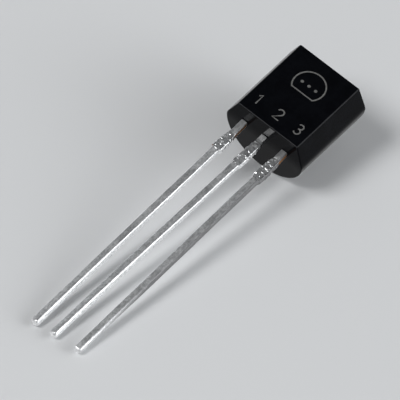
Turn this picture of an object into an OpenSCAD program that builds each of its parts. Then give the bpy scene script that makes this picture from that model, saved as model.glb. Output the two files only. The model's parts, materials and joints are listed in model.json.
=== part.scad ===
// Triac in a three-lead TO-92 plastic package, cut from its strip and lying on its round back.
//
// Package frame, used by every piece before the rest pose: X across the leads from main
// terminal 1 to main terminal 2, Y from the flat front into the body, Z from the leads up.
// Its origin is the middle of the flat front's lower edge.
//
// rest_pose() then lays the package down, flat front up: X across the leads, Y along them
// with the body at +Y, Z up, and the origin on the ground under the middle of the bounding
// box. The package rests on the lower end of its round back and on its lead tips.

/* [Moulded body] */
// Width of the flat, marked front
flat_w = 3.75; // [3.4:0.05:3.95]
// Width of the body at its mould parting plane, where it is widest
body_w = 4.8; // [4.1:0.05:5.9]
// Height of the flat front
body_h = 4.75; // [3.9:0.05:5.7]
// Depth of the body, from the flat front to the round back
body_d = 3.7; // [3.0:0.05:4.5]
// Depth of the front half, from the flat front to the parting plane
front_d = 1.24; // [1.05:0.01:1.55]
// Draft of the two end faces, each way from the parting plane
end_draft = 4; // [1:0.5:7]
// Rounding of the two long edges of the flat front
flat_edge_r = 0.1; // [0.05:0.01:0.2]

/* [Leads] */
// Distance between neighbouring lead centres at the body
lead_pitch = 1.27; // [1.05:0.01:1.55]
// Width of a lead, across the row of leads
lead_w = 0.37; // [0.3:0.01:0.47]
// Thickness of the lead frame strip
lead_t = 0.38; // [0.3:0.01:0.47]
// Length of the leads below the flat front's lower edge: terminal 1, gate, terminal 2
lead_len = [15.9, 15.8, 15.65]; // [12:0.05:20]
// Sideways drift of each lead tip from its place at the body
tip_drift = [0.16, -0.03, 0.1]; // [-0.3:0.01:0.3]
// Width of the narrower neck, from the body down to the tie bar stubs
neck_w = 0.33; // [0.26:0.01:0.38]
// Width of a lead across its tie bar stubs
stub_w = 0.5; // [0.4:0.01:0.6]
// Distance from the body to the tie bar stubs
stub_drop = 1.15; // [0.9:0.05:1.5]
// Length of the tie bar stubs along the lead
stub_len = 0.95; // [0.7:0.05:1.2]
// Setback of the bevels at the cut lead tips
tip_bevel = 0.06; // [0.02:0.01:0.1]

/* [Lead frame inside the resin] */
// Resin between the bond pads and the slanted side facets
side_cover = 0.45; // [0.3:0.05:0.6]
// Resin between the die paddle and the top end face
top_cover = 1.0; // [0.7:0.05:1.3]
// Resin gap between neighbouring pads of the lead frame
pad_gap = 0.3; // [0.2:0.02:0.4]
// Height of the die paddle's lower edge
paddle_z = 1.65; // [1.5:0.05:1.8]
// Height of the gate pad's lower edge
gate_pad_z = 0.8; // [0.6:0.05:0.9]
// Width of the gate pad
gate_pad_w = 0.8; // [0.6:0.05:0.95]
// Width of a locking barb on a lead just inside the resin
barb_w = 0.62; // [0.5:0.02:0.75]
// Height of a locking barb
barb_h = 0.2; // [0.1:0.02:0.3]
// Height of a locking barb's lower edge
barb_z = 0.35; // [0.2:0.05:0.45]

/* [Chip and wires] */
// Side of the square triac chip
die_side = 1.1; // [0.8:0.05:1.4]
// Thickness of the chip
die_t = 0.25; // [0.2:0.01:0.3]
// Thickness of the solder between chip and paddle
solder_t = 0.04; // [0.02:0.01:0.06]
// Solder fillet that shows round the chip
solder_rim = 0.08; // [0.04:0.01:0.12]
// Diameter of the main terminal wire
mt1_wire_d = 0.15; // [0.1:0.01:0.2]
// Diameter of the gate wire
gate_wire_d = 0.1; // [0.06:0.01:0.14]
// Rise of a wire's middle line above the chip
wire_rise = 0.22; // [0.18:0.01:0.26]
// Radius of a wire's bends, at its middle line
wire_bend_r = 0.12; // [0.11:0.01:0.16]

/* [Hidden] */
$fn = 64;
past = 1; // how far a cutting shape runs past what it cuts

// Places of the three leads in the lists above
MT1 = 0;
GATE = 1;
MT2 = 2;

// Moulded body
flat_half = flat_w / 2;
body_half = body_w / 2;
facet_slant = atan2(body_half - flat_half, front_d);
edge_run = flat_edge_r * tan((90 - facet_slant) / 2);
back_d = body_d - front_d;
back_r = back_d > body_half ? body_half : (body_half ^ 2 + back_d ^ 2) / (2 * back_d);
back_mid = body_d - back_r;
draft_slope = tan(end_draft);
parting_rise = front_d * draft_slope;
back_rise = parting_rise - back_d * draft_slope;

// Lead frame: its rear face lies in the parting plane
frame_front = front_d - lead_t;
frame_half = flat_half + frame_front * tan(facet_slant);
pad_edge = frame_half - side_cover;
pad_split = -lead_pitch / 2;
paddle_left = pad_split + pad_gap / 2;
mt1_pad_right = pad_split - pad_gap / 2;
paddle_top = body_h - top_cover;
gate_pad_top = paddle_z - pad_gap;
stub_end = -stub_drop - stub_len;

// Chip on the paddle, and where the wires land
die_x = (paddle_left + pad_edge) / 2;
die_z = (paddle_z + paddle_top) / 2;
die_back = frame_front - solder_t;
die_front = die_back - die_t;
chip_bond_x = die_x - die_side / 4;
mt1_bond_z = die_z + die_side / 4;
gate_bond_z = die_z - die_side / 4;
mt1_post_x = (mt1_pad_right - pad_edge) / 2;
gate_post_z = (gate_pad_z + gate_pad_top) / 2;
loop_y = die_front - wire_rise;

// Rest on the ground: the low end of the round back and the tip of the longest lead
longest = max(lead_len);
rest_tilt = atan2(back_d, longest - back_rise);
ground = -back_rise * sin(rest_tilt) - body_d * cos(rest_tilt);
parting_end = (body_h + parting_rise) * cos(rest_tilt) + front_d * sin(rest_tilt);
back_end = (body_h + back_rise) * cos(rest_tilt) + body_d * sin(rest_tilt);
tip_end = -longest * cos(rest_tilt) + frame_front * sin(rest_tilt);
mid_y = (max(parting_end, back_end) + tip_end) / 2;

// From the package frame to lying on the ground
module rest_pose() {
    translate([0, -mid_y, -ground])
        rotate([rest_tilt - 90, 0, 0])
            children();
}

// Outline of the body seen along the leads: flat front, slanted facets, round back
module body_outline() {
    flat_tangent = flat_half - edge_run;
    facet_tangent = [flat_half + edge_run * sin(facet_slant), edge_run * cos(facet_slant)];
    polygon([
        [-flat_tangent, 0],
        [flat_tangent, 0],
        facet_tangent,
        [body_half, front_d],
        [-body_half, front_d],
        [-facet_tangent.x, facet_tangent.y]
    ]);
    for (side = [-1, 1])
        translate([side * flat_tangent, flat_edge_r]) circle(flat_edge_r);
    if (back_mid > front_d)
        translate([-body_half, front_d]) square([body_w, back_mid - front_d]);
    intersection() {
        translate([0, back_mid]) circle(back_r);
        translate([-body_w, front_d]) square([2 * body_w, body_d]);
    }
}

// Side view of the body: two end faces, each drafted both ways from the parting plane
module end_wedge() {
    reach = past * draft_slope;
    polygon([
        [-past, reach],
        [front_d, -parting_rise],
        [body_d + past, reach - back_rise],
        [body_d + past, body_h + back_rise - reach],
        [front_d, body_h + parting_rise],
        [-past, body_h - reach]
    ]);
}

module body_form() {
    intersection() {
        translate([0, 0, -past]) linear_extrude(body_h + 2 * past) body_outline();
        rotate([90, 0, 90])
            translate([0, 0, -body_w]) linear_extrude(2 * body_w) end_wedge();
    }
}

// Lead frame shapes are drawn flat, X across the leads and Y along them
module strip(middle, width, low, high) {
    translate([middle - width / 2, low]) square([width, high - low]);
}

// One lead from its cut tip to the top of its neck
module lead_strip(lead, neck_top) {
    at = lead_x(lead);
    tip = at + tip_drift[lead];
    low = -lead_len[lead];
    half = lead_w / 2;
    polygon([
        [tip - half + tip_bevel, low],
        [tip + half - tip_bevel, low],
        [tip + half, low + tip_bevel],
        [at + half, stub_end],
        [at - half, stub_end],
        [tip - half, low + tip_bevel]
    ]);
    strip(at, stub_w, stub_end, -stub_drop);
    strip(at, neck_w, -stub_drop, neck_top);
    strip(at, barb_w, barb_z, barb_z + barb_h);
}

function lead_x(lead) = (lead - GATE) * lead_pitch;

// Gives a flat lead frame shape its thickness, in front of the parting plane
module frame_sheet() {
    translate([0, front_d, 0]) rotate([90, 0, 0]) linear_extrude(lead_t) children();
}

module mt1_form() {
    frame_sheet() {
        lead_strip(MT1, paddle_z);
        translate([-pad_edge, paddle_z])
            square([mt1_pad_right + pad_edge, paddle_top - paddle_z]);
    }
}

module gate_form() {
    frame_sheet() {
        lead_strip(GATE, gate_pad_z);
        strip(lead_x(GATE), gate_pad_w, gate_pad_z, gate_pad_top);
    }
}

module mt2_form() {
    frame_sheet() {
        lead_strip(MT2, paddle_z);
        translate([paddle_left, paddle_z])
            square([pad_edge - paddle_left, paddle_top - paddle_z]);
    }
}

// A square slab on the paddle, between two depths
module chip_slab(side, front, back) {
    translate([die_x - side / 2, front, die_z - side / 2]) cube([side, back - front, side]);
}

module die_form() {
    chip_slab(die_side, die_front, die_back);
}

module solder_form() {
    chip_slab(die_side + 2 * solder_rim, die_back, frame_front);
}

// A bonded wire: up from the chip, over at one height, and down to a pad of the lead frame
module wire_form(post_x, post_z, bond_z, wire_d) {
    dx = post_x - chip_bond_x;
    dz = post_z - bond_z;
    run = sqrt(dx ^ 2 + dz ^ 2);
    turn_y = loop_y + wire_bend_r;
    translate([chip_bond_x, 0, bond_z]) rotate([0, -atan2(dz, dx), 0]) {
        translate([0, turn_y, 0])
            rotate([-90, 0, 0]) cylinder(h = die_front - turn_y, d = wire_d);
        translate([wire_bend_r, turn_y, 0]) wire_bend(180, wire_d);
        translate([wire_bend_r, loop_y, 0])
            rotate([0, 90, 0]) cylinder(h = run - 2 * wire_bend_r, d = wire_d);
        translate([run - wire_bend_r, turn_y, 0]) wire_bend(270, wire_d);
        translate([run, turn_y, 0])
            rotate([-90, 0, 0]) cylinder(h = frame_front - turn_y, d = wire_d);
    }
}

// A quarter turn of wire, starting at the given angle
module wire_bend(from, wire_d) {
    rotate([0, 0, from]) rotate_extrude(angle = 90) translate([wire_bend_r, 0]) circle(d = wire_d);
}

module mt1_wire_form() {
    wire_form(mt1_post_x, mt1_bond_z, mt1_bond_z, mt1_wire_d);
}

module gate_wire_form() {
    wire_form(lead_x(GATE), gate_post_z, gate_bond_z, gate_wire_d);
}

// The resin fills every space round the lead frame, the chip and the wires
module package_body() {
    color([0.06, 0.06, 0.07]) rest_pose() difference() {
        body_form();
        mt1_form();
        gate_form();
        mt2_form();
        solder_form();
        die_form();
        mt1_wire_form();
        gate_wire_form();
    }
}

module lead_mt1() {
    color([0.72, 0.73, 0.76]) rest_pose() mt1_form();
}

module lead_gate() {
    color([0.72, 0.73, 0.76]) rest_pose() gate_form();
}

module lead_mt2() {
    color([0.72, 0.73, 0.76]) rest_pose() mt2_form();
}

module silicon_die() {
    color([0.35, 0.37, 0.42]) rest_pose() die_form();
}

module die_attach() {
    color([0.6, 0.6, 0.58]) rest_pose() solder_form();
}

module bond_wire_mt1() {
    color([0.8, 0.8, 0.82]) rest_pose() mt1_wire_form();
}

module bond_wire_gate() {
    color([0.8, 0.8, 0.82]) rest_pose() gate_wire_form();
}

package_body();
lead_mt1();
lead_gate();
lead_mt2();
silicon_die();
die_attach();
bond_wire_mt1();
bond_wire_gate();
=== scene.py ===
"""Looks of a triac in a three-lead moulded package, lying on its round back.

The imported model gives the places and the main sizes. Each piece is drawn in package millimetres: X
across the leads, Y from the flat front into the body, Z from the leads up the body, with the origin
at the middle of the flat's lower edge. place() then takes it into the frame, in metres.
"""

import json
import math

import bmesh
import bpy
import numpy as np
from bpy.props import FloatProperty, FloatVectorProperty, IntProperty, PointerProperty
from mathutils import Matrix, Vector


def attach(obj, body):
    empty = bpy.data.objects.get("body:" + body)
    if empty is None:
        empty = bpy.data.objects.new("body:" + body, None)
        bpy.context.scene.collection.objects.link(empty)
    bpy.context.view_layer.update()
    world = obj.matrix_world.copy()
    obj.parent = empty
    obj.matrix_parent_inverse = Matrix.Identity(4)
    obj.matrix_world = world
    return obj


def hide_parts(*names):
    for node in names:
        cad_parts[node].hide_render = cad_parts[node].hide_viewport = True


bl_info = {
    "name": "Triac Package",
    "version": (1, 0, 0),
    "blender": (4, 5, 0),
    "location": "View3D > Sidebar > Triac",
    "description": "Finishes a moulded triac with its tinned leads, chip and wires, and lights it",
    "category": "Object",
}

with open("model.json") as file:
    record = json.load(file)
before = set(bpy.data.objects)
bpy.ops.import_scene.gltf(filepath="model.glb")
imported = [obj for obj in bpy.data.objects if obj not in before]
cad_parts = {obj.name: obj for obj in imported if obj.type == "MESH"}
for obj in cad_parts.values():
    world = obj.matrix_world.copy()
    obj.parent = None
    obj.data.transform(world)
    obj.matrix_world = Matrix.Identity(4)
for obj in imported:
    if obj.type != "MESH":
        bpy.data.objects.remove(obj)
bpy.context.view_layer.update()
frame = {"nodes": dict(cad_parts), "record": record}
MM = 0.001
ROOT = "root"
# The leads in their order across the package, and the other pieces that the resin holds
LEADS = ("lead_mt1", "lead_gate", "lead_mt2")
INNER = ("silicon_die", "die_attach", "bond_wire_mt1", "bond_wire_gate")
# How near a point lies to the flat, and to the body's widest line, to count as on it, in millimetres
ON_FLAT, ON_WIDEST = 0.01, 0.001
# A length in millimetres that counts as nothing
NOTHING = 1e-6


# ---------------- measuring the frame

def mount(name):
    """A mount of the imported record."""
    return next(m for m in frame["record"]["mounts"] if m["name"] == name)


def mesh_points(name):
    """A CAD node's vertices in the frame, as rows of x, y, z in metres."""
    mesh = frame["nodes"][name].data
    points = np.empty(len(mesh.vertices) * 3)
    mesh.vertices.foreach_get("co", points)
    return points.reshape(-1, 3)


def package_matrix():
    """From package millimetres to metres in the frame, found from the mounts."""
    back = -Vector(mount("front_face")["axis"]).normalized()
    up = -Vector(mount("lead_gate_end")["axis"]).normalized()
    turn = Matrix((back.cross(up), back, up)).transposed()
    face_middle = Vector(mount("front_face")["pos_m"])
    points = (mesh_points("package_body") - np.array(face_middle)) @ np.array(turn) / MM
    on_flat = points[np.abs(points[:, 1]) < ON_FLAT]
    lower_edge = face_middle + up * on_flat[:, 2].min() * MM
    return Matrix.Translation(lower_edge) @ turn.to_4x4() @ Matrix.Scale(MM, 4)


TO_FRAME = package_matrix()
TO_PACKAGE = np.array(TO_FRAME.inverted())


def package_points(name):
    """A CAD node's vertices in package millimetres."""
    return mesh_points(name) @ TO_PACKAGE[:3, :3].T + TO_PACKAGE[:3, 3]


def measure_body():
    """The moulded body's driving sizes, in package millimetres."""
    points = package_points("package_body")
    half = points[:, 0].max()
    front_d = points[points[:, 0] > half - ON_WIDEST, 1].min()
    facet = points[points[:, 1] < front_d / 2]
    edge_x, edge_y = facet[facet[:, 0].argmax(), :2]
    slope = (half - edge_x) / (front_d - edge_y)
    return {
        "half": half,
        "depth": points[:, 1].max(),
        "front_d": front_d,
        "flat_half": edge_x - slope * edge_y,
        "facet_slant": math.atan(slope),
        "height": points[np.abs(points[:, 1]) < ON_FLAT, 2].max(),
        "draft": -points[:, 2].min() / front_d,
    }


BODY = measure_body()


class Section:
    """The cross-section of a CAD node at any height, from its mesh edges."""

    def __init__(self, name):
        mesh = frame["nodes"][name].data
        pairs = np.empty(len(mesh.edges) * 2, dtype=np.int64)
        mesh.edges.foreach_get("vertices", pairs)
        points = package_points(name)
        self.edges = points[pairs.reshape(-1, 2)]
        self.low, self.high = points[:, 2].min(), points[:, 2].max()
        self.front, self.rear = points[:, 1].min(), points[:, 1].max()
        self.levels = sorted(set(points[:, 2].round(3)))

    def span(self, height):
        """Lowest and highest x at a height."""
        start, end = self.edges[:, 0], self.edges[:, 1]
        rise = end[:, 2] - start[:, 2]
        crossing = (np.abs(rise) > NOTHING) & ((start[:, 2] - height) * (end[:, 2] - height) <= 0)
        share = (height - start[crossing, 2]) / rise[crossing]
        across = start[crossing, 0] + share * (end[crossing, 0] - start[crossing, 0])
        return across.min(), across.max()


SECTIONS = {name: Section(name) for name in LEADS}


# ---------------- meshes

def new_object(name, data):
    """A new object in the scene."""
    made = bpy.data.objects.new(name, data)
    bpy.context.scene.collection.objects.link(made)
    return made


def mesh_from(name, build):
    """A new mesh that a bmesh function fills in."""
    shape = bmesh.new()
    build(shape)
    mesh = bpy.data.meshes.new(name)
    shape.to_mesh(mesh)
    shape.free()
    return mesh


def object_from(name, build):
    """A new object whose mesh a bmesh function fills in."""
    return new_object(name, mesh_from(name, build))


def baked(made):
    """Turns an object's modifiers into a plain mesh."""
    depsgraph = bpy.context.evaluated_depsgraph_get()
    mesh = bpy.data.meshes.new_from_object(made.evaluated_get(depsgraph), depsgraph=depsgraph)
    made.modifiers.clear()
    made.data = mesh
    return made


def grown(made, tree, values):
    """Runs a Geometry Nodes tree on an object, with its named inputs set, and bakes the result."""
    modifier = made.modifiers.new(tree.name, "NODES")
    modifier.node_group = tree
    sockets = {item.name: item.identifier for item in tree.interface.items_tree
               if item.in_out == "INPUT"}
    for name, value in values.items():
        modifier[sockets[name]] = value
    return baked(made)


def joined(made, other, operation):
    """Joins another solid to an object, or cuts it away, and removes the other."""
    modifier = made.modifiers.new(operation, "BOOLEAN")
    modifier.operation = operation
    modifier.solver = "EXACT"
    modifier.material_mode = "TRANSFER"
    modifier.use_self = True
    modifier.object = other
    baked(made)
    bpy.data.objects.remove(other)
    return made


def place(made):
    """Takes a piece from package millimetres into the frame."""
    made.data.transform(TO_FRAME)
    return made


def smooth(made, angle_deg):
    """Smooth shading, broken at edges sharper than the given angle."""
    shape = bmesh.new()
    shape.from_mesh(made.data)
    for face in shape.faces:
        face.smooth = True
    for edge in shape.edges:
        edge.smooth = edge.calc_face_angle(0.0) < math.radians(angle_deg)
    shape.to_mesh(made.data)
    shape.free()
    return made


def clamped(value):
    """A value held between 0 and 1."""
    return min(max(value, 0.0), 1.0)


def between(start, end, share):
    """The point a share of the way from one x, y to another."""
    return tuple(a + share * (b - a) for a, b in zip(start, end))


def arc(middle_x, middle_y, radius, start, end, steps=14):
    """Points along an arc, between two angles in degrees."""
    turns = [math.radians(start + (end - start) * step / steps) for step in range(steps + 1)]
    return [(middle_x + radius * math.cos(t), middle_y + radius * math.sin(t)) for t in turns]


def rounded_ring(half_x, half_y, right_radius, left_radius, corner_steps, side_steps):
    """Points round a rectangle with round corners, anticlockwise from its right side."""
    corners = []
    for side_x, side_y, start in ((1, 1, 0), (-1, 1, 90), (-1, -1, 180), (1, -1, 270)):
        radius = right_radius if side_x > 0 else left_radius
        middle = (side_x * (half_x - radius), side_y * (half_y - radius))
        corners.append(arc(*middle, radius, start, start + 90, corner_steps))
    ring = []
    for corner, after in zip(corners, corners[1:] + corners[:1]):
        ring += corner
        ring += [between(corner[-1], after[0], step / side_steps) for step in range(1, side_steps)]
    return ring


def skin(shape, rings):
    """Skins a row of rings, lowest first, and returns their vertices."""
    rows = [[shape.verts.new(point) for point in ring] for ring in rings]
    for below, above in zip(rows, rows[1:]):
        for index in range(len(below)):
            after = (index + 1) % len(below)
            shape.faces.new((below[index], below[after], above[after], above[index]))
    return rows


def loft(shape, rings):
    """Skins a row of rings, lowest first, and closes both ends."""
    rows = skin(shape, rings)
    shape.faces.new(list(reversed(rows[0])))
    shape.faces.new(rows[-1])


# ---------------- node trees

GEOMETRY = "NodeSocketGeometry"
FLOAT = "NodeSocketFloat"
VECTOR = "NodeSocketVector"
COLOUR = "NodeSocketColor"
MATERIAL = "NodeSocketMaterial"
# Places of a Mix node's sockets when it mixes colours
MIX_SHARE, MIX_FROM, MIX_TO, MIX_RESULT = 0, 6, 7, 2
OPERATIONS = {"+": "ADD", "-": "SUBTRACT", "*": "MULTIPLY", "/": "DIVIDE"}


def fill_inputs(tree, node, inputs):
    """Fills a node's inputs with values or links."""
    for name, value in inputs.items():
        if isinstance(value, bpy.types.NodeSocket):
            tree.links.new(value, node.inputs[name])
        else:
            node.inputs[name].default_value = value


def add_node(tree, kind, inputs=None, **settings):
    """Adds a node, sets its own settings and fills its inputs."""
    node = tree.nodes.new(kind)
    for name, value in settings.items():
        setattr(node, name, value)
    fill_inputs(tree, node, inputs or {})
    return node


def maths(tree, first, sign, second):
    """A Math node's result."""
    node = add_node(tree, "ShaderNodeMath", {0: first, 1: second}, operation=OPERATIONS[sign])
    return node.outputs["Value"]


def vector_maths(tree, operation, first, second, output="Vector"):
    """A Vector Math node's result."""
    node = add_node(tree, "ShaderNodeVectorMath", {0: first, 1: second}, operation=operation)
    return node.outputs[output]


def ramped(tree, value, low, high, start=0.0, end=1.0, ease="SMOOTHSTEP"):
    """A value carried from one range to another, and held beyond it."""
    node = add_node(tree, "ShaderNodeMapRange",
                    {"Value": value, "From Min": low, "From Max": high, "To Min": start, "To Max": end},
                    interpolation_type=ease)
    return node.outputs["Result"]


def mixed(tree, share, first, second):
    """The colour a share of the way from one to another."""
    node = add_node(tree, "ShaderNodeMix", {MIX_SHARE: share, MIX_FROM: first, MIX_TO: second},
                    data_type="RGBA")
    return node.outputs[MIX_RESULT]


def blended(tree, first, second, share):
    """The value a share of the way from one to another."""
    return maths(tree, maths(tree, first, "*", 1.0 - share), "+", maths(tree, second, "*", share))


def noise(tree, vector, scale, detail, roughness=0.5):
    """A noise from 0 to 1."""
    return add_node(tree, "ShaderNodeTexNoise", {
        "Vector": vector, "Scale": scale, "Detail": detail, "Roughness": roughness}).outputs[0]


def height_of(tree, vector):
    """The last coordinate of a vector."""
    return add_node(tree, "ShaderNodeSeparateXYZ", {"Vector": vector}).outputs["Z"]


def start_tree(name, kind, inputs, outputs):
    """A new node tree with pairs of socket names and types, what it is given, and its output node."""
    tree = bpy.data.node_groups.new(name, kind)
    for direction, sockets in (("INPUT", inputs), ("OUTPUT", outputs)):
        for socket_name, socket_type in sockets:
            tree.interface.new_socket(name=socket_name, in_out=direction, socket_type=socket_type)
    return tree, tree.nodes.new("NodeGroupInput").outputs, tree.nodes.new("NodeGroupOutput")


def start_geometry(name, sizes):
    """A new geometry tree that takes a shape, its sizes and a material."""
    return start_tree(name, "GeometryNodeTree",
                      [("Geometry", GEOMETRY), *sizes, ("Material", MATERIAL)], [("Geometry", GEOMETRY)])


def end_geometry(tree, geometry, material, output):
    """Ends a geometry tree: instances made real, then the material."""
    real = add_node(tree, "GeometryNodeRealizeInstances", {"Geometry": geometry})
    coated = add_node(tree, "GeometryNodeSetMaterial",
                      {"Geometry": real.outputs["Geometry"], "Material": material})
    fill_inputs(tree, output, {"Geometry": coated.outputs["Geometry"]})


# Depth below the body over which the tin's waves set in, and lengths over which the beaten zone
# sets in at its top and its bottom, in millimetres
WAVE_EASE, BEATEN_TOP_EASE, BEATEN_BOTTOM_EASE = 0.2, 0.12, 0.05
# How much longer than wide the waves are
WAVE_STRETCH = 3.0


def tin_coat_tree():
    """Ripples and swells of hot-dipped tin, and beaten facets where the tie bar was cut off."""
    tree, given, output = start_geometry("Tin Coat", [(name, FLOAT) for name in (
        "Ripple Size", "Ripple Height", "Swell Size", "Swell Height", "Facet Size", "Facet Tilt",
        "Facet Top", "Facet Bottom", "Seed")])
    position = add_node(tree, "GeometryNodeInputPosition").outputs["Position"]
    height = height_of(tree, position)
    top, bottom = given["Facet Top"], given["Facet Bottom"]
    beaten = maths(tree, ramped(tree, height, top, maths(tree, top, "-", BEATEN_TOP_EASE)), "*",
                   ramped(tree, height, bottom, maths(tree, bottom, "+", BEATEN_BOTTOM_EASE)))

    def waves(kind, detail, seed_step):
        """Waves of a kind's size and height, drawn out along the lead."""
        vector = vector_maths(tree, "MULTIPLY", position, (1.0, 1.0, 1.0 / WAVE_STRETCH))
        field = add_node(tree, "ShaderNodeTexNoise", {
            "Vector": vector, "W": maths(tree, given["Seed"], "+", seed_step),
            "Scale": maths(tree, 1.0, "/", given[kind + " Size"]), "Detail": detail, "Roughness": 0.55},
            noise_dimensions="4D")
        centred = maths(tree, maths(tree, field.outputs[0], "-", 0.5), "*", 2.0)
        return maths(tree, centred, "*", given[kind + " Height"])

    cells = add_node(tree, "ShaderNodeTexVoronoi", {
        "Vector": position, "W": given["Seed"], "Scale": maths(tree, 1.0, "/", given["Facet Size"])},
        voronoi_dimensions="4D")
    from_middle = vector_maths(tree, "SUBTRACT", position, cells.outputs["Position"])
    lean = vector_maths(tree, "SUBTRACT", cells.outputs["Color"], (0.5, 0.5, 0.5))
    facet = vector_maths(tree, "DOT_PRODUCT", from_middle, lean, "Value")
    lump = maths(tree, facet, "*", maths(tree, given["Facet Tilt"], "*", beaten))
    waved = maths(tree, waves("Ripple", 2.0, 0.0), "+", waves("Swell", 1.0, 3.0))
    proud = maths(tree, maths(tree, waved, "+", lump), "*", ramped(tree, height, 0.0, -WAVE_EASE))
    normal = add_node(tree, "GeometryNodeInputNormal").outputs["Normal"]
    offset = add_node(tree, "ShaderNodeVectorMath", {0: normal, "Scale": proud}, operation="SCALE")
    moved = add_node(tree, "GeometryNodeSetPosition",
                     {"Geometry": given["Geometry"], "Offset": offset.outputs["Vector"]})
    end_geometry(tree, moved.outputs["Geometry"], given["Material"], output)
    return tree


def lead_row_tree():
    """A shape repeated at every lead, one lead pitch apart."""
    tree, given, output = start_geometry("Row At Leads", [("First Place", VECTOR), ("Pitch", FLOAT)])
    step = add_node(tree, "ShaderNodeCombineXYZ", {"X": given["Pitch"]}).outputs["Vector"]
    line = add_node(tree, "GeometryNodeMeshLine",
                    {"Count": len(LEADS), "Start Location": given["First Place"], "Offset": step})
    placed = add_node(tree, "GeometryNodeInstanceOnPoints",
                      {"Points": line.outputs["Mesh"], "Instance": given["Geometry"]})
    end_geometry(tree, placed.outputs["Instances"], given["Material"], output)
    return tree


def stroke_tree():
    """Square-cut strokes along drawn lines."""
    tree, given, output = start_geometry("Strokes", [("Width", FLOAT)])
    curve = add_node(tree, "GeometryNodeMeshToCurve", {"Mesh": given["Geometry"]})
    level = add_node(tree, "GeometryNodeSetCurveNormal", {"Curve": curve.outputs["Curve"]}, mode="Z_UP")
    section = add_node(tree, "GeometryNodeCurvePrimitiveQuadrilateral",
                       {"Width": given["Width"], "Height": given["Width"]})
    swept = add_node(tree, "GeometryNodeCurveToMesh", {
        "Curve": level.outputs["Curve"], "Profile Curve": section.outputs["Curve"], "Fill Caps": True})
    end_geometry(tree, swept.outputs["Mesh"], given["Material"], output)
    return tree


# ---------------- shader groups

# How many times finer the specks are than their patches, and their share of the height
SPECK_FINENESS, SPECK_SHARE = 5.0, 0.3
# Scale of the broad noise that the grain's roughness follows, and its share beside the fine grain
BROAD_SCALE, BROAD_SHARE = 1.3, 0.6
# Noise values between which one colour turns into the other, and the smoothest into the roughest
COLOUR_TURN, ROUGHNESS_TURN = (0.36, 0.64), (0.35, 0.65)


def mottle_group(name):
    """Cloudy patches between two colours, with finer specks in them."""
    tree, given, output = start_tree(name, "ShaderNodeTree", [
        ("Vector", VECTOR), ("Patch Size", FLOAT), ("Stretch", FLOAT), ("Dark", COLOUR),
        ("Light", COLOUR)], [("Color", COLOUR), ("Height", FLOAT)])
    along = add_node(tree, "ShaderNodeCombineXYZ", {
        "X": 1.0, "Y": 1.0, "Z": maths(tree, 1.0, "/", given["Stretch"])}).outputs["Vector"]
    vector = vector_maths(tree, "MULTIPLY", given["Vector"], along)
    scale = maths(tree, 1.0, "/", given["Patch Size"])
    patches = noise(tree, vector, scale, detail=4.0, roughness=0.6)
    specks = noise(tree, vector, maths(tree, scale, "*", SPECK_FINENESS), detail=2.0)
    height = blended(tree, patches, specks, SPECK_SHARE)
    tone = mixed(tree, ramped(tree, height, *COLOUR_TURN), given["Dark"], given["Light"])
    fill_inputs(tree, output, {"Color": tone, "Height": height})
    return tree


def grain_group(name):
    """Fine grain of a moulded or ground surface: a height, and a roughness that follows it."""
    tree, given, output = start_tree(name, "ShaderNodeTree", [
        ("Vector", VECTOR), ("Grain Size", FLOAT), ("Smoothest", FLOAT), ("Roughest", FLOAT)],
        [("Height", FLOAT), ("Roughness", FLOAT)])
    fine = noise(tree, given["Vector"], maths(tree, 1.0, "/", given["Grain Size"]), detail=3.0,
                 roughness=0.6)
    broad = noise(tree, given["Vector"], BROAD_SCALE, detail=2.0)
    roughness = ramped(tree, blended(tree, fine, broad, BROAD_SHARE), *ROUGHNESS_TURN,
                       given["Smoothest"], given["Roughest"], ease="LINEAR")
    fill_inputs(tree, output, {"Height": fine, "Roughness": roughness})
    return tree


def use_group(tree, name, build, inputs):
    """Places a shader group in a material, and builds it the first time."""
    group = bpy.data.node_groups.get(name) or build(name)
    return add_node(tree, "ShaderNodeGroup", inputs, node_tree=group).outputs


def mottle(tree, vector, size, dark, light, stretch=1.0):
    """Cloudy patches of a size in millimetres between two colours."""
    return use_group(tree, "Mottle", mottle_group, {
        "Vector": vector, "Patch Size": size, "Stretch": stretch, "Dark": rgba(dark), "Light": rgba(light)})


def grain(tree, vector, size, smoothest, roughest):
    """Fine grain of a size in millimetres between two roughnesses."""
    return use_group(tree, "Grain", grain_group, {
        "Vector": vector, "Grain Size": size, "Smoothest": smoothest, "Roughest": roughest})


# ---------------- materials

# Roughness added to the resin under the painted highlight along the flat's edges
EDGE_HIGHLIGHT_ROUGHER = 0.15
# Shares of its roughness and of its unevenness that smooth tin loses, share of roughness that
# the darker tin adds, and the grain's share in height beside the tin's patches
SMOOTH_LESS_ROUGH, SMOOTH_LESS_UNEVEN, DARKENING_ROUGHER, GRAIN_ON_TIN = 0.45, 0.9, 0.5, 0.6


def rgba(colour):
    """A colour with full alpha."""
    return (*colour, 1.0)


def shaded(colour, share):
    """A colour made darker or lighter."""
    return tuple(part * share for part in colour)


def mesh_mask(tree, name):
    """A mask that is stored on the mesh."""
    return add_node(tree, "ShaderNodeAttribute", attribute_name=name).outputs["Fac"]


def start_material(name):
    """A new material: its tree, its Principled shader and package millimetres as coordinates."""
    material = bpy.data.materials.new(name)
    material.use_nodes = True
    tree = material.node_tree
    origin, turn, _ = TO_FRAME.decompose()
    vector = add_node(tree, "ShaderNodeMapping", {
        "Vector": add_node(tree, "ShaderNodeTexCoord").outputs["Object"], "Location": origin,
        "Rotation": turn.to_euler(), "Scale": (MM, MM, MM)}, vector_type="TEXTURE").outputs["Vector"]
    return material, tree, tree.nodes["Principled BSDF"], vector


def finish_surface(tree, shader, inputs, height, bump, bump_mm):
    """Fills the shader's inputs and turns a height into bumps of a strength and a depth."""
    normal = add_node(tree, "ShaderNodeBump",
                      {"Height": height, "Strength": bump, "Distance": bump_mm * MM}).outputs["Normal"]
    fill_inputs(tree, shader, {**inputs, "Normal": normal})


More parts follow.
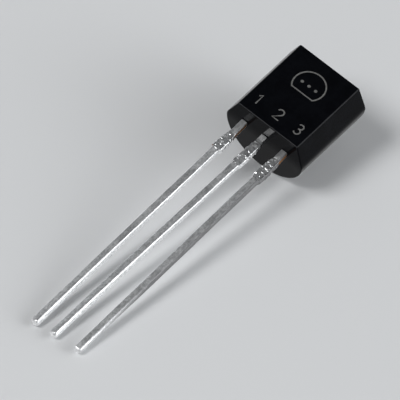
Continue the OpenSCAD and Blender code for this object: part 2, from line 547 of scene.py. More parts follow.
def epoxy_material(settings):
    """Black moulding compound: semi-gloss, glossier on its base, with a painted highlight along the flat's
    edges.
    """
    material, tree, shader, vector = start_material("Black Epoxy")
    tone = mottle(tree, vector, size=0.9, dark=settings.epoxy, light=settings.clouds)
    fine = grain(tree, vector, size=0.035, smoothest=0.2, roughest=0.28)
    off_base = ramped(tree, height_of(tree, vector), low=0.06, high=0.16, start=0.35)
    patchy = ramped(tree, tone["Height"], low=0.2, high=0.6, start=0.4)
    # Painted highlight: a lighter colour along the flat's lower and long edges, which are also a little
    # rougher there
    edge_highlight = maths(tree, mesh_mask(tree, "painted_edge_highlight"), "*", patchy)
    rough = maths(tree, fine["Roughness"], "*", off_base)
    finish_surface(tree, shader, {
        "Base Color": mixed(tree, edge_highlight, tone["Color"], rgba(settings.painted_edge_highlight)),
        "Roughness": maths(tree, rough, "+", maths(tree, edge_highlight, "*", EDGE_HIGHLIGHT_ROUGHER)),
        "IOR": 1.5, "Specular IOR Level": 0.036}, fine["Height"], bump=0.12, bump_mm=0.004)
    return material


def tin_material(settings):
    """Matt tin, smoother, darker or sheared to bare copper where masks on the mesh say so."""
    material, tree, shader, vector = start_material("Tinned Copper")
    tone = mottle(tree, vector, size=0.1, dark=settings.dull_tin, light=settings.bright_tin,
                  stretch=1.4)
    fine = grain(tree, vector, size=0.04, smoothest=0.34, roughest=0.54)
    bare, smooth_tin, darkened = (mesh_mask(tree, name) for name in LEAD_MASKS)
    ragged = ramped(tree, maths(tree, bare, "+", maths(tree, tone["Height"], "-", 0.5)),
                    low=0.45, high=0.6)
    # Darker tin where the mask says so: on terminal 2's right side and on the necks next to the body
    tin = mixed(tree, darkened, tone["Color"], rgba(settings.darkened))
    polish = maths(tree, 1.0, "-", maths(tree, smooth_tin, "*", SMOOTH_LESS_ROUGH))
    dullness = maths(tree, polish, "+", maths(tree, darkened, "*", DARKENING_ROUGHER))
    uneven = maths(tree, tone["Height"], "+", maths(tree, fine["Height"], "*", GRAIN_ON_TIN))
    beaten_flat = maths(tree, 1.0, "-", maths(tree, smooth_tin, "*", SMOOTH_LESS_UNEVEN))
    finish_surface(tree, shader, {
        "Base Color": mixed(tree, ragged, tin, rgba(settings.copper)),
        "Roughness": maths(tree, fine["Roughness"], "*", dullness), "Metallic": 1.0},
        maths(tree, uneven, "*", beaten_flat), bump=0.65, bump_mm=0.016)
    return material


def clouded_material(name, dark, light, patch, grains, smoothest, roughest, bump, bump_mm, constants):
    """A surface of cloudy patches with fine grain, both of a size in millimetres."""
    material, tree, shader, vector = start_material(name)
    tone = mottle(tree, vector, patch, dark, light)
    fine = grain(tree, vector, grains, smoothest, roughest)
    inputs = {"Base Color": tone["Color"], "Roughness": fine["Roughness"], **constants}
    finish_surface(tree, shader, inputs, fine["Height"], bump, bump_mm)
    return material


def mark_material(settings):
    """Laser-marked epoxy: pale, matt and a little uneven."""
    return clouded_material(
        "Laser Mark", shaded(settings.mark, 0.55), settings.mark, patch=0.08, grains=0.015,
        smoothest=0.6, roughest=0.85, bump=0.3, bump_mm=0.004, constants={"Specular IOR Level": 0.3})


def silicon_material(settings):
    """Polished silicon under glass passivation, with a paler metal field."""
    return clouded_material(
        "Silicon Chip", settings.silicon, shaded(settings.silicon, 1.4), patch=0.5,
        grains=0.02, smoothest=0.1, roughest=0.25, bump=0.2, bump_mm=0.002, constants={"Metallic": 0.6})


def metal_material(name, colour, dark_share, patch, roughness):
    """A plain metal with darker patches."""
    return clouded_material(
        name, shaded(colour, dark_share), colour, patch=patch, grains=patch / 6,
        smoothest=roughness * 0.8, roughest=roughness * 1.2, bump=0.3, bump_mm=0.005,
        constants={"Metallic": 1.0})


def floor_material(settings):
    """Pale, matt paper, which tin and resin mirror as a more even white."""
    material = bpy.data.materials.new("Pale Paper")
    material.use_nodes = True
    tree = material.node_tree
    paper = tree.nodes["Principled BSDF"]
    fill_inputs(tree, paper, {
        "Base Color": rgba(settings.floor), "Roughness": 0.7, "Specular IOR Level": 0.2})
    white = add_node(tree, "ShaderNodeEmission", {"Strength": 1.0})
    mirrored_ray = add_node(tree, "ShaderNodeLightPath").outputs["Is Glossy Ray"]
    surface = add_node(tree, "ShaderNodeMixShader", {
        0: maths(tree, mirrored_ray, "*", settings.floor_gleam), 1: paper.outputs["BSDF"],
        2: white.outputs["Emission"]})
    fill_inputs(tree, tree.nodes["Material Output"], {"Surface": surface.outputs["Shader"]})
    return material


# ---------------- moulded body

# Width over which the middle ridge of an end face is eased, in millimetres
RIDGE_EASE = 0.35
# Steps round a rim, from the flat's middle to its long edge, round that edge, along a facet, round
# the back and up the sides
RIM_STEPS, FLAT_STEPS, EDGE_STEPS, FACET_STEPS, BACK_STEPS, SIDE_LEVELS = 6, 12, 6, 14, 48, 24
# Width of the flat band beside a rim, which keeps the rim's turn off the large faces, in millimetres
HOLD = 0.03
# Least cosine that a corner of the outline is moved inwards by
SHARPEST = 0.5
# Places of the middle of the flat's long edge in the half outline and of the lower rim's middle
# among the rings, and how many places the painted edge highlight reaches to each side of them
EDGE_MIDDLE, RIM_MIDDLE, EDGE_HIGHLIGHT_REACH = FLAT_STEPS + EDGE_STEPS // 2, 1 + RIM_STEPS // 2, 1
# A resin collar's outline, in shares of its reach: pairs of the drop down the lead and the distance
# from it
COLLAR_OUTLINE = ((1.0, 0.2), (0.75, 0.28), (0.5, 0.4), (0.25, 0.6), (0.1, 0.85), (-2.0, 1.0))
# Least corner radius of a collar, in millimetres, and its steps round a corner and along a side
COLLAR_CORNER, COLLAR_CORNER_STEPS, COLLAR_SIDE_STEPS = 0.02, 4, 2
# Height at which a lead's neck is measured, in millimetres
NECK = -0.3
# Distance within which points of the sealed pieces are one, in metres
WELD = 1e-7


def base_height(depth):
    """Height of the drafted lower end face at a depth behind the flat, eased over its middle ridge."""
    from_ridge = abs(depth - BODY["front_d"])
    if from_ridge < RIDGE_EASE:
        from_ridge = (RIDGE_EASE + from_ridge ** 2 / RIDGE_EASE) / 2
    return BODY["draft"] * (from_ridge - BODY["front_d"])


def half_outline(edge_radius):
    """The right half of the body's outline as x and y, from the flat to the middle of the back."""
    half, front_d = BODY["half"], BODY["front_d"]
    slant = math.degrees(BODY["facet_slant"])
    tangent = BODY["flat_half"] - edge_radius * math.tan(math.radians(90 - slant) / 2)
    back_d = BODY["depth"] - front_d
    radius = half if back_d > half else (half ** 2 + back_d ** 2) / (2 * back_d)
    middle = BODY["depth"] - radius
    start = 0.0 if middle >= front_d else math.degrees(math.atan2(front_d - middle, half))
    points = [(tangent * step / FLAT_STEPS, 0.0) for step in range(FLAT_STEPS)]
    points += arc(tangent, edge_radius, edge_radius, -90, -slant, EDGE_STEPS)
    edge = points[-1]
    points += [between(edge, (half, front_d), step / FACET_STEPS) for step in range(1, FACET_STEPS)]
    return points + arc(0.0, middle, radius, start, 90, BACK_STEPS)


def inset(points, distance):
    """The right half outline moved inwards by a distance."""
    moved = []
    before = [(-points[1][0], points[1][1])] + points[:-1]
    after = points[1:] + [(-points[-2][0], points[-2][1])]
    for (x, y), first, last in zip(points, before, after):
        into = Vector((x - first[0], y - first[1])).normalized()
        onward = Vector((last[0] - x, last[1] - y)).normalized()
        inward = Vector((-into.y - onward.y, into.x + onward.x)).normalized()
        reach = distance / max(inward.dot(Vector((-into.y, into.x))), SHARPEST)
        moved.append((x + inward.x * reach, y + inward.y * reach))
    return moved


def mirrored(half):
    """The left half of an outline, from the back to the flat, without the two shared middle points."""
    return [(-x, y) for x, y in reversed(half[1:-1])]


def body_rings(outline, rim):
    """Rings up the body, from the edge of its lower end face to that of its upper one."""

    def ring(inset_by, lift):
        """A closed ring near the lower end, moved in from the outline and up from the end face."""
        half = inset(outline, inset_by)
        return [(x, y, base_height(y) + lift) for x, y in half + mirrored(half)]

    lower = [ring(rim + HOLD, 0.0)]
    for step in range(RIM_STEPS + 1):
        turn = math.radians(90 * step / RIM_STEPS)
        lower.append(ring(rim * (1 - math.sin(turn)), rim * (1 - math.cos(turn))))
    lower.append(ring(0.0, rim + HOLD))
    sides = []
    for step in range(1, SIDE_LEVELS):
        share = step / SIDE_LEVELS
        sides.append([(x, y, z + share * (BODY["height"] - 2 * z)) for x, y, z in lower[-1]])
    upper = [[(x, y, BODY["height"] - z) for x, y, z in row] for row in reversed(lower)]
    return lower + sides + upper


def fill_body(shape, settings):
    """The body's outer skin, with a mask for the painted highlight along the flat's edges."""
    edge_highlight = shape.verts.layers.float.new("painted_edge_highlight")
    outline = half_outline(settings.flat_edge_radius / MM)
    rows = skin(shape, body_rings(outline, settings.rim_radius / MM))
    # Marks the flat's lower rim and its two long edges for the painted highlight
    for level, row in enumerate(rows):
        on_rim = abs(level - RIM_MIDDLE) <= EDGE_HIGHLIGHT_REACH
        for index in range(-EDGE_MIDDLE - EDGE_HIGHLIGHT_REACH, EDGE_MIDDLE + EDGE_HIGHLIGHT_REACH + 1):
            if on_rim or abs(index) >= EDGE_MIDDLE - EDGE_HIGHLIGHT_REACH:
                row[index][edge_highlight] = 1.0
    for row in (rows[0], rows[-1]):
        front = [row[index] for index in range(-FLAT_STEPS, FLAT_STEPS + 1)]
        shape.faces.new(front + [row[FLAT_STEPS + 1], row[-FLAT_STEPS - 1]])
        for index in range(FLAT_STEPS + 1, len(outline) - 1):
            strip = (row[index], row[index + 1], row[-index - 1], row[-index])
            shape.faces.new(list(dict.fromkeys(strip)))
    bmesh.ops.recalc_face_normals(shape, faces=shape.faces)


def neck(name):
    """Where a lead's neck begins and ends across the leads and behind the flat."""
    section = SECTIONS[name]
    return section.span(NECK), (section.front, section.rear)


def lead_exit(name):
    """Where a lead leaves the body: the middle of its neck, on the lower end face."""
    across, behind = neck(name)
    depth = sum(behind) / 2
    return Vector((sum(across) / 2, depth, base_height(depth)))


def fill_collar(shape, settings):
    """The small meniscus of resin that creeps down a lead."""
    half_x, half_y = ((high - low) / 2 for low, high in neck("lead_gate"))
    reach = settings.collar_reach / MM
    rings = []
    for drop, distance in COLLAR_OUTLINE:
        proud = distance * reach
        radius = proud + COLLAR_CORNER
        ring = rounded_ring(half_x + proud, half_y + proud, radius, radius,
                            COLLAR_CORNER_STEPS, COLLAR_SIDE_STEPS)
        rings.append([(x, y, -drop * reach) for x, y in ring])
    loft(shape, rings)


def gathered(name, parts, materials):
    """One object from several meshes and the material number that each one takes."""

    def build(shape):
        """Adds each mesh's faces with its material number."""
        for mesh, number in parts:
            before = len(shape.faces)
            shape.from_mesh(mesh)
            shape.faces.ensure_lookup_table()
            for face in shape.faces[before:]:
                face.material_index = number

    made = object_from(name, build)
    for material in materials:
        made.data.materials.append(material)
    return made


def inner_mesh():
    """All that the resin is moulded round, as one mesh in package millimetres."""

    def build(shape):
        """Adds each piece's faces and welds their loose triangles."""
        for name in LEADS + INNER:
            shape.from_mesh(frame["nodes"][name].data)
        bmesh.ops.remove_doubles(shape, verts=shape.verts, dist=WELD)

    mesh = mesh_from("inner", build)
    mesh.transform(TO_FRAME.inverted())
    return mesh


# ---------------- marking

# Height of the terminal chart's middle, as a share of the flat's height, and height of the numerals'
# feet above the flat's lower edge, in millimetres
CHART_PLACE, NUMERAL_FOOT = 0.66, 0.55
# Angle in degrees at which the chart's flat side starts
CHART_CORNER = -40
# A dot's radius as a share of the stroke's width, and the dots' pitch as a share of the chart's width
DOT_SHARE, DOT_PITCH = 1.1, 0.25


def numeral(number):
    """A plain numeral one unit high, drawn as strokes about its own middle line."""
    return {
        1: [[(-0.2, 0.76), (0.04, 1.0), (0.04, 0.0)]],
        2: [arc(0.0, 0.72, 0.28, 165, -35) + [(-0.3, 0.0), (0.32, 0.0)]],
        3: [arc(-0.02, 0.765, 0.235, 150, -90) + [(-0.1, 0.53)],
            [(-0.1, 0.53)] + arc(-0.02, 0.265, 0.265, 90, -150)],
    }[number]


def pin_chart(width):
    """The package seen from its leads: an arc closed by a flat side."""
    outline = arc(0.0, 0.0, width / 2, CHART_CORNER, 180 - CHART_CORNER, 40)
    return outline + outline[:1]


def fill_dot(shape, radius, depth):
    """One round dot, sunk to its depth below the flat."""
    bmesh.ops.create_cone(shape, cap_ends=True, segments=32, radius1=radius, radius2=radius,
                          depth=2 * depth)
    bmesh.ops.rotate(shape, verts=shape.verts, matrix=Matrix.Rotation(math.radians(90), 3, "X"))


def fill_marks(shape, settings):
    """Every marked stroke as edges, X across the flat and Y up it."""
    size = settings.mark_height / MM
    chart = pin_chart(settings.chart_width / MM)
    drawn = [[(x, BODY["height"] * CHART_PLACE + y) for x, y in chart]]
    for number, name in enumerate(LEADS, start=1):
        foot = Vector((lead_exit(name).x, NUMERAL_FOOT))
        for stroke in numeral(number):
            drawn.append([(foot.x + size * x, foot.y + size * y) for x, y in stroke])
    for stroke in drawn:
        closed = math.dist(stroke[0], stroke[-1]) < NOTHING
        row = [shape.verts.new((x, y, 0.0)) for x, y in stroke[:-1]]
        row.append(row[0] if closed else shape.verts.new((*stroke[-1], 0.0)))
        for start, end in zip(row, row[1:]):
            shape.edges.new((start, end))


def mark_cutter(settings, material):
    """The marked strokes as solids that stand in the flat to their depth."""
    made = object_from("mark_cutter", lambda shape: fill_marks(shape, settings))
    width = settings.mark_stroke / MM
    grown(made, stroke_tree(), {"Width": width, "Material": material})
    sunk = settings.mark_depth / MM - width / 2
    upright = Matrix.Rotation(math.radians(90), 4, "X")
    made.data.transform(Matrix.Translation((0.0, sunk, 0.0)) @ upright)
    return made


def dot_cutter(settings, material):
    """The three dots of the terminal chart."""
    made = object_from("dot_cutter", lambda shape: fill_dot(
        shape, settings.mark_stroke / MM * DOT_SHARE, settings.mark_depth / MM))
    pitch = settings.chart_width / MM * DOT_PITCH
    grown(made, lead_row_tree(), {
        "First Place": (-pitch, 0.0, BODY["height"] * CHART_PLACE), "Pitch": pitch,
        "Material": material})
    return made


# ---------------- leads

# Where a lead's sides stand proud of its own half width, from the body down past the cut tie bar:
# pairs of the drop below the body and the proud height. All lengths here are in millimetres.
TIE_BAR_CUTS = {
    "lead_mt1": {
        "left": ((0.0, -0.02), (0.85, -0.03), (1.2, 0.01), (1.55, 0.075), (2.2, 0.085), (2.24, 0.01),
                 (2.5, 0.0)),
        "right": ((0.0, -0.02), (0.9, -0.01), (1.3, 0.04), (1.6, 0.07), (2.15, 0.065), (2.26, 0.005),
                  (2.6, 0.0)),
    },
    "lead_gate": {
        "left": ((0.0, -0.01), (0.6, -0.015), (0.72, -0.02), (0.8, 0.015), (1.3, 0.03), (1.36, -0.015),
                 (1.46, -0.015), (1.52, 0.05), (2.22, 0.06), (2.27, 0.0), (2.5, 0.0)),
        "right": ((0.0, 0.0), (0.65, 0.015), (0.85, 0.04), (1.3, 0.05), (1.4, 0.02), (1.5, 0.055),
                  (2.2, 0.06), (2.27, 0.01), (2.5, 0.0)),
    },
    "lead_mt2": {
        "left": ((0.0, -0.02), (0.85, -0.02), (0.95, 0.03), (1.4, 0.06), (1.75, 0.09), (2.24, 0.075),
                 (2.3, 0.0), (2.5, 0.0)),
        "right": ((0.0, -0.02), (0.45, 0.0), (0.9, 0.03), (1.3, 0.045), (1.5, 0.08), (2.2, 0.06),
                  (2.32, 0.0), (2.6, 0.0)),
    },
}
# Drop to which the tie bar's cuts reach, and the height at which a neck's middle is taken above them
TIE_BAR_END, UPPER_NECK = 2.6, -0.5
# Height above which a lead keeps its CAD outline, how far below its top that outline is read, and
# how far above its tip
KEPT_ABOVE, BELOW_TOP, ABOVE_TIP = -0.02, 0.001, 0.1
# Spacing of a lead's rings down its length, near the tie bar and inside the resin, and the height to
# which the second reaches
LONG_STEP, FINE_STEP, INNER_STEP, FINE_TOP = 0.06, 0.02, 0.2, -0.05
# Distance of the two rings that hold a step in the pad's outline, and the least of all others
NEAR_STEP, OFF_STEP = 0.008, 0.03
# Steps round a tip, round a corner and along a side
TIP_STEPS, CORNER_STEPS, SIDE_STEPS = 6, 6, 12
# Drops below the body and the share of the corner radius there: crisp at the neck, rounder further
# down and roundest at the tip
CORNER_SHARES = ((0.5, 0.5), (2.6, 0.9), (8.0, 1.2))
TIP_SHARE = 1.9
# The left corners' share of the right ones' radius, and the most of the half width that one takes
LEFT_SHARE, ROUNDEST = 0.45, 0.9
# Drop from which the leads turn, and each one's share of the turn
TURN_FROM = 3.0
TURN_SHARES = {"lead_mt1": 1.0, "lead_gate": 1.0, "lead_mt2": 0.2}
# Masks on a lead's mesh: bare copper, smooth tin and darker tin
LEAD_MASKS = ("bare_copper", "smooth_tin", "darkened")
# Drops between which a side is bare, sheared copper, and which side: 1 the right, -1 the left
BARE_SIDES = {
    "lead_mt1": ((0.12, 1.15, 1), (1.2, 2.2, -1)),
    "lead_gate": ((0.8, 1.2, -1),),
    "lead_mt2": ((0.12, 0.75, 1),),
}
# Share of the half width past which a sheared side lies, and the tinned margin at its two edges
SHEARED_FROM, TINNED_MARGIN = 0.9, 0.07
# Drops between which a lead is beaten by the tool that cut its tie bar, how smooth its tin is there,
# and the drop down to which it is fully smooth
BEATEN = {"lead_mt1": (1.0, 2.3), "lead_gate": (0.66, 2.3), "lead_mt2": (0.7, 2.35)}
BEATEN_SMOOTH = 0.6
SMOOTH_DOWN_TO = {"lead_mt1": 0.0, "lead_gate": 0.62, "lead_mt2": 0.0}
# How much darker a lead's right side and its neck are, and how the side lightens again towards
# the tip: its drops and the shares there
DARKENING = {"lead_mt1": (0.0, 0.15), "lead_gate": (0.0, 0.0), "lead_mt2": (1.0, 0.6)}
CLEARING_DROPS, CLEARING_SHARES = (11.0, 15.0), (1.0, 0.2)
# Where the darkening sets in, as a share of the half width and a drop, and the lengths that it takes
SIDE_FROM, SIDE_EASE, NECK_FROM, NECK_EASE = 0.55, 0.2, 0.75, 0.3


def lead_heights(section, tip_radius):
    """Heights of a lead's rings, closer together where its width changes."""
    heights = [section.low + tip_radius * (1 - math.cos(math.radians(90 * step / TIP_STEPS)))
               for step in range(TIP_STEPS + 1)]
    for step, top in ((LONG_STEP, -TIE_BAR_END), (FINE_STEP, FINE_TOP)):
        while heights[-1] < top:
            heights.append(heights[-1] + step)
    levels = [level for level in section.levels if level > UPPER_NECK]
    for level in levels:
        heights += [level - NEAR_STEP, level + NEAR_STEP]
    heights += [height for height in np.arange(0.0, section.high, INNER_STEP)
                if min(abs(height - level) for level in levels) > OFF_STEP]
    highest = section.high - NEAR_STEP / 2
    return sorted(height for height in set(heights) if section.low <= height < highest) + [section.high]


def lead_sides(name, height):
    """Left and right x of a lead at a height, with its cut tie bar and without its tip's rounding."""
    section = SECTIONS[name]
    if height > KEPT_ABOVE:
        return section.span(min(height, section.high - BELOW_TOP))
    if height < -TIE_BAR_END:
        low, high = section.span(max(height, section.low + ABOVE_TIP))
    else:
        low_below, high_below = section.span(-TIE_BAR_END)
        low_above, high_above = section.span(UPPER_NECK)
        share = (height + TIE_BAR_END) / TIE_BAR_END
        middle = (low_below + high_below) / 2 * (1 - share) + (low_above + high_above) / 2 * share
        half = (high_below - low_below) / 2
        low, high = middle - half, middle + half
    left, right = (np.interp(-height, *zip(*TIE_BAR_CUTS[name][side])) for side in ("left", "right"))
    return low - left, high + right


def lead_ring(name, height, settings):
    """One ring of a lead: its section with round corners, shrunk at the tip and turned."""
    section = SECTIONS[name]
    low, high = lead_sides(name, height)
    tip_radius = settings.tip_radius / MM
    below_round = max(tip_radius - (height - section.low), 0.0)
    shrink = tip_radius - math.sqrt(max(tip_radius ** 2 - below_round ** 2, 0.0))
    half_x, half_y = (high - low) / 2 - shrink, (section.rear - section.front) / 2 - shrink
    corner = settings.corner_radius / MM
    corner *= np.interp(-height, *zip(*CORNER_SHARES, (-section.low, TIP_SHARE)))
    right, left = (min(max(radius, shrink), min(half_x, half_y) * ROUNDEST)
                   for radius in (corner, corner * LEFT_SHARE))
    share = clamped((-height - TURN_FROM) / (-section.low - TURN_FROM))
    turn = settings.tip_turn * TURN_SHARES[name] * share * share * (3 - 2 * share)
    turned = [(x * math.cos(turn) + y * math.sin(turn), y * math.cos(turn) - x * math.sin(turn))
              for x, y in rounded_ring(half_x, half_y, right, left, CORNER_STEPS, SIDE_STEPS)]
    rise = max(y for x, y in turned) - half_y
    middle_x, middle_y = (low + high) / 2, (section.front + section.rear) / 2 - rise
    return [(middle_x + x, middle_y + y, height) for x, y in turned]


def fill_lead(shape, name, settings):
    """A lead from its cut tip to the top of its pad."""
    heights = lead_heights(SECTIONS[name], settings.tip_radius / MM)
    loft(shape, [lead_ring(name, height, settings) for height in heights])


def lead_masks(name, point):
    """How far a point of a lead is bare copper, smooth tin and darker tin."""
    section = SECTIONS[name]
    x, y, z = point
    low, high = lead_sides(name, z)
    side = (x - (low + high) / 2) / ((high - low) / 2)
    inside = min(y - section.front, section.rear - y) > TINNED_MARGIN
    sheared = z < 0 and inside and any(side * direction > SHEARED_FROM and top < -z < bottom
                                       for top, bottom, direction in BARE_SIDES[name])
    beaten_from, beaten_to = BEATEN[name]
    smooth_tin = BEATEN_SMOOTH if beaten_from < -z < beaten_to else 0.0
    if -z < SMOOTH_DOWN_TO[name]:
        smooth_tin = 1.0
    side_darkening, neck_darkening = DARKENING[name]
    side_darkening *= np.interp(-z, CLEARING_DROPS, CLEARING_SHARES)
    darkened = max(side_darkening * clamped((side - SIDE_FROM) / SIDE_EASE),
                  neck_darkening * clamped((z + NECK_FROM) / NECK_EASE))
    return float(sheared), smooth_tin, darkened


def mask_lead(made, name):
    """Stores a lead's masks on its mesh."""
    rows = [lead_masks(name, vertex.co) for vertex in made.data.vertices]
    for mask, values in zip(LEAD_MASKS, zip(*rows)):
        made.data.attributes.new(mask, "FLOAT", "POINT").data.foreach_set("value", values)


# ---------------- settings

def length(name, description, default, low, high):
    """A length, given in millimetres."""
    return FloatProperty(name=name, description=description, default=default * MM, min=low * MM,
                         max=high * MM, precision=6, unit="LENGTH")


def angle(name, description, default, low=-180, high=180):
    """An angle, given in degrees."""
    return FloatProperty(name=name, description=description, default=math.radians(default),
                         min=math.radians(low), max=math.radians(high), subtype="ANGLE")


def colour(name, description, default):
    """A colour."""
    return FloatVectorProperty(name=name, description=description, default=default, min=0.0, max=1.0,
                               subtype="COLOR")


def power(name, description, default):
    """A lamp's power in watts."""
    return FloatProperty(name=name, description=description, default=default, min=0.0, unit="POWER")


def amount(name, description, default, low=0.0, high=10.0):
    """A plain number."""
    return FloatProperty(name=name, description=description, default=default, min=low, max=high)


class TriacBodySettings(bpy.types.PropertyGroup):
    """The moulded body."""

    flat_edge_radius: length("Flat Edge Radius", "Rounding of the flat's two long edges", 0.1, 0.04, 0.2)
    rim_radius: length("Rim Radius", "Rounding of the rims at both ends", 0.06, 0.01, 0.1)
    collar_reach: length("Collar Reach", "How far the resin creeps down each lead", 0.034, 0.02, 0.15)
    mark_height: length("Numeral Height", "Height of the terminal numbers", 0.62, 0.4, 0.8)
    chart_width: length("Chart Width", "Width of the marked terminal chart", 1.7, 1.0, 2.4)
    mark_stroke: length("Stroke Width", "Width of a marked stroke", 0.078, 0.04, 0.12)
    mark_depth: length("Mark Depth", "Depth that the laser takes off", 0.008, 0.002, 0.02)
    epoxy: colour("Epoxy", "Colour of the moulding compound", (0.0018, 0.002, 0.0028))
    clouds: colour("Epoxy Clouds", "Paler patches in the moulding compound", (0.003, 0.0034, 0.0046))
    # Colour of the painted highlight along the flat's edges
    painted_edge_highlight: colour("Painted Edge Highlight", "Colour of the painted highlight along the flat's edges", (0.03, 0.031, 0.033))
    mark: colour("Mark", "Colour of the laser marking", (0.17, 0.17, 0.165))


class TriacLeadSettings(bpy.types.PropertyGroup):
    """The three leads."""

    corner_radius: length("Corner Radius", "Rounding of a lead's long edges", 0.07, 0.01, 0.09)
    tip_radius: length("Tip Radius", "Rounding of the cut tips", 0.14, 0.02, 0.16)
    tip_turn: angle("Tip Turn", "How far the tips of terminal 1 and the gate are turned", 26, 0, 30)
    ripple_size: length("Ripple Size", "Size of the ripples in the tin", 0.22, 0.05, 1.0)
    ripple_height: length("Ripple Height", "Height of the ripples in the tin", 0.004, 0.0, 0.03)
    swell_size: length("Swell Size", "Size of the broad swells in the tin", 0.7, 0.2, 2.0)
    swell_height: length("Swell Height", "Height of the broad swells in the tin", 0.018, 0.0, 0.04)
    facet_size: length("Facet Size", "Size of the beaten facets at the cut tie bar", 0.2, 0.05, 0.5)
    facet_tilt: amount("Facet Tilt", "Steepest slope of the beaten facets", 0.4, 0.0, 2.0)
    seed: IntProperty(name="Seed", description="Start of the tin's random ripples", default=3, min=0)
    bright_tin: colour("Bright Tin", "Colour of the clean tin", (0.94, 0.95, 0.96))
    dull_tin: colour("Dull Tin", "Colour of the dulled tin", (0.56, 0.57, 0.58))
    # Colour of the darker right side of terminal 2
    darkened: colour("Darkened Tin", "Colour of the darker right side of terminal 2", (0.2, 0.2, 0.205))
    copper: colour("Sheared Copper", "Colour of the bare sheared sides", (0.34, 0.16, 0.06))


class TriacInnerSettings(bpy.types.PropertyGroup):
    """The chip, its solder and its wires."""

    silicon: colour("Silicon", "Colour of the chip", (0.16, 0.17, 0.21))
    solder: colour("Solder", "Colour of the die attach solder", (0.5, 0.5, 0.48))
    wire: colour("Wire", "Colour of the aluminium wires", (0.78, 0.79, 0.8))


class TriacStageSettings(bpy.types.PropertyGroup):
    """Camera, floor and light."""

    azimuth: angle("Azimuth", "Camera's turn from the lead tips towards terminal 2", 26.556)
    elevation: angle("Elevation", "Camera's height above the floor", 49.036)
    roll: angle("Roll", "Camera's turn about its own line of sight", -16.893)
    distance: length("Distance", "From the camera to the point it aims at", 395.81, 50.0, 5000.0)
    aim: FloatVectorProperty(
        name="Aim", description="Point that the camera aims at", subtype="TRANSLATION", unit="LENGTH",
        default=(-0.000367, 0.001283, 0.00074), precision=6)
    lens: amount("Lens", "Focal length for a 36 mm sensor, in millimetres", 734.93, 50.0, 2000.0)
    floor: colour("Floor", "Colour of the floor", (0.68, 0.69, 0.7))
    floor_gleam: amount("Floor in Reflections", "How far a mirrored floor is plain white", 0.6, 0.0, 1.0)
    key_power: power("Key Light", "Power of the large soft light", 7.2)
    side_power: power("Side Light", "Power of the low light across the leads", 1.6)
    sky_low: amount("Sky at the Horizon", "Strength of the surrounding light, low down", 0.42)
    sky_high: amount("Sky Overhead", "Strength of the surrounding light, overhead", 0.125)
    sky_glow: amount("Sky Glow", "Extra strength of the surrounding light beside the leads", 2.8)


# ---------------- floor, light and camera

# Each light's place and width, in metres
KEY_LIGHT = ((-0.36, -0.62, 0.83), 0.36)
SIDE_LIGHT = ((0.85, 0.45, 0.3), 0.45)
FLOOR_RADIUS = 3.0
# Direction of the surrounding light's glow, and cosine of the angle from it at which the glow begins
GLOW_SIDE, GLOW_FROM = (0.83, 0.53, 0.17), 0.65
# Height, as the last part of a direction, above which the surrounding light is weakest
SKY_TOP = 0.9
SKY_COLOUR = (0.97, 0.985, 1.0)
SENSOR_MM = 36.0
# Nearest and furthest distance that the camera sees, in metres
CLIP = (0.01, 20.0)


def add_floor(settings):
    """A wide round floor under the object."""
    floor = object_from("floor", lambda shape: bmesh.ops.create_circle(
        shape, cap_ends=True, radius=FLOOR_RADIUS, segments=96))
    floor.data.materials.append(floor_material(settings))


def add_sky(scene, settings):
    """Soft light all round, weaker overhead and stronger low down beyond terminal 2."""
    world = bpy.data.worlds.new("Studio")
    world.use_nodes = True
    scene.world = world
    tree = world.node_tree
    direction = add_node(tree, "ShaderNodeTexCoord").outputs["Generated"]
    around = ramped(tree, height_of(tree, direction), 0.0, SKY_TOP, settings.sky_low, settings.sky_high)
    facing = vector_maths(tree, "DOT_PRODUCT", direction, GLOW_SIDE, "Value")
    glow = ramped(tree, facing, GLOW_FROM, 1.0, 0.0, settings.sky_glow)
    fill_inputs(tree, tree.nodes["Background"], {
        "Color": rgba(SKY_COLOUR), "Strength": maths(tree, around, "+", glow)})


def add_lamp(name, place_m, width_m, power):
    """A square soft light that faces the object."""
    data = bpy.data.lights.new(name, "AREA")
    data.size = width_m
    data.energy = power
    lamp = new_object(name, data)
    lamp.location = place_m
    lamp.rotation_euler = (-Vector(place_m)).to_track_quat("-Z", "Y").to_euler()


def add_camera(scene, settings):
    """A long lens that looks down on the flat from beyond the lead tips."""
    flat_out = math.cos(settings.elevation)
    towards = Vector((math.sin(settings.azimuth) * flat_out, -math.cos(settings.azimuth) * flat_out,
                      math.sin(settings.elevation)))
    level_right = Vector((0, 0, 1)).cross(towards).normalized()
    level_up = towards.cross(level_right)
    right = level_right * math.cos(settings.roll) - level_up * math.sin(settings.roll)
    up = level_up * math.cos(settings.roll) + level_right * math.sin(settings.roll)
    data = bpy.data.cameras.new("camera")
    data.lens = settings.lens
    data.sensor_width = SENSOR_MM
    data.clip_start, data.clip_end = CLIP
    camera = new_object("camera", data)
    turn = Matrix((right, up, towards)).transposed().to_4x4()
    camera.matrix_world = Matrix.Translation(Vector(settings.aim) + towards * settings.distance) @ turn
    scene.camera = camera


# ---------------- operators

# Angles in degrees past which the body's and a lead's edges are shaded as sharp
BODY_SHARP, LEAD_SHARP = 18, 50


class TRIAC_OT_stage(bpy.types.Operator):
    """Makes the floor, the lights and the camera"""

    bl_idname = "triac.stage"
    bl_label = "Floor, Light and Camera"

    def execute(self, context):
        settings = context.scene.triac_stage
        add_floor(settings)
        add_sky(context.scene, settings)
        add_lamp("key_light", *KEY_LIGHT, settings.key_power)
        add_lamp("side_light", *SIDE_LIGHT, settings.side_power)
        add_camera(context.scene, settings)
        context.scene.view_settings.view_transform = "Standard"
        return {"FINISHED"}


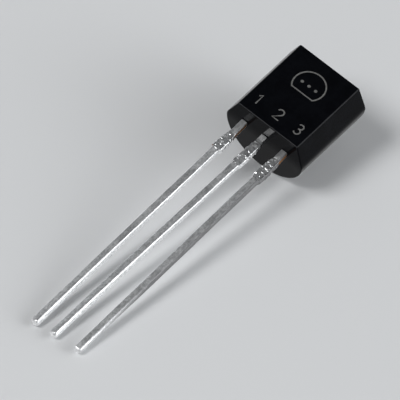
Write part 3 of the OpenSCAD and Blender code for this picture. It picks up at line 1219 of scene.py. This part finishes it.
class TRIAC_OT_body(bpy.types.Operator):
    """Makes the moulded body with its resin collars and marking"""

    bl_idname = "triac.body"
    bl_label = "Moulded Body"

    def execute(self, context):
        settings = context.scene.triac_body
        epoxy = epoxy_material(settings)
        body = object_from("moulded_body", lambda shape: fill_body(shape, settings))
        body.data.materials.append(epoxy)
        collars = object_from("collars", lambda shape: fill_collar(shape, settings))
        exits = [lead_exit(name) for name in LEADS]
        grown(collars, lead_row_tree(), {
            "First Place": exits[0], "Pitch": exits[1].x - exits[0].x, "Material": epoxy})
        joined(body, collars, "UNION")
        mark = mark_material(settings)
        marks = [mark_cutter(settings, mark), dot_cutter(settings, mark)]
        parts = [(inner_mesh(), 0)] + [(made.data, 1) for made in marks]
        joined(body, gathered("cutter", parts, (epoxy, mark)), "DIFFERENCE")
        for made in marks:
            bpy.data.objects.remove(made)
        smooth(place(body), BODY_SHARP)
        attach(body, ROOT)
        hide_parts("package_body")
        return {"FINISHED"}


class TRIAC_OT_leads(bpy.types.Operator):
    """Makes the three tinned leads, from their cut tips to their pads inside the resin"""

    bl_idname = "triac.leads"
    bl_label = "Tinned Leads"

    def execute(self, context):
        settings = context.scene.triac_leads
        tin = tin_material(settings)
        coat = tin_coat_tree()
        for index, name in enumerate(LEADS):
            lead = object_from("tinned_" + name, lambda shape: fill_lead(shape, name, settings))
            mask_lead(lead, name)
            beaten_from, beaten_to = BEATEN[name]
            grown(lead, coat, {
                "Ripple Size": settings.ripple_size / MM, "Ripple Height": settings.ripple_height / MM,
                "Swell Size": settings.swell_size / MM, "Swell Height": settings.swell_height / MM,
                "Facet Size": settings.facet_size / MM, "Facet Tilt": settings.facet_tilt,
                "Facet Top": -beaten_from, "Facet Bottom": -beaten_to,
                "Seed": float(settings.seed + 10 * index), "Material": tin})
            smooth(place(lead), LEAD_SHARP)
            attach(lead, ROOT)
            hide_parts(name)
        return {"FINISHED"}


class TRIAC_OT_inner(bpy.types.Operator):
    """Finishes the chip, its solder and its two wires, which keep their own shapes"""

    bl_idname = "triac.inner"
    bl_label = "Chip, Solder and Wires"

    def execute(self, context):
        settings = context.scene.triac_inner
        solder = metal_material("Die Solder", settings.solder, 0.7, patch=0.15, roughness=0.45)
        wire = metal_material("Aluminium Wire", settings.wire, 0.8, patch=0.06, roughness=0.3)
        for name, material in zip(INNER, (silicon_material(settings), solder, wire, wire)):
            for place_slot in frame["nodes"][name].material_slots:
                place_slot.material = material
        return {"FINISHED"}


class TRIAC_PT_panel(bpy.types.Panel):
    """Lists the pieces and their settings"""

    bl_idname = "TRIAC_PT_panel"
    bl_label = "Triac"
    bl_space_type = "VIEW_3D"
    bl_region_type = "UI"
    bl_category = "Triac"

    def draw(self, context):
        for group, (_, operator) in STEPS.items():
            box = self.layout.box()
            box.operator(operator.bl_idname)
            settings = getattr(context.scene, group)
            for name in settings.__annotations__:
                box.prop(settings, name)


# The steps in their order: where each one's settings are kept, their class and the operator
STEPS = {
    "triac_stage": (TriacStageSettings, TRIAC_OT_stage),
    "triac_body": (TriacBodySettings, TRIAC_OT_body),
    "triac_leads": (TriacLeadSettings, TRIAC_OT_leads),
    "triac_inner": (TriacInnerSettings, TRIAC_OT_inner),
}
CLASSES = (*(item for step in STEPS.values() for item in step), TRIAC_PT_panel)


def register():
    for item in CLASSES:
        bpy.utils.register_class(item)
    for name, (group, _) in STEPS.items():
        setattr(bpy.types.Scene, name, PointerProperty(type=group))


def unregister():
    for name in STEPS:
        delattr(bpy.types.Scene, name)
    for item in reversed(CLASSES):
        bpy.utils.unregister_class(item)


def main():
    register()
    bpy.ops.triac.stage()
    bpy.ops.triac.body()
    bpy.ops.triac.leads()
    bpy.ops.triac.inner()


if __name__ == "__main__":
    main()
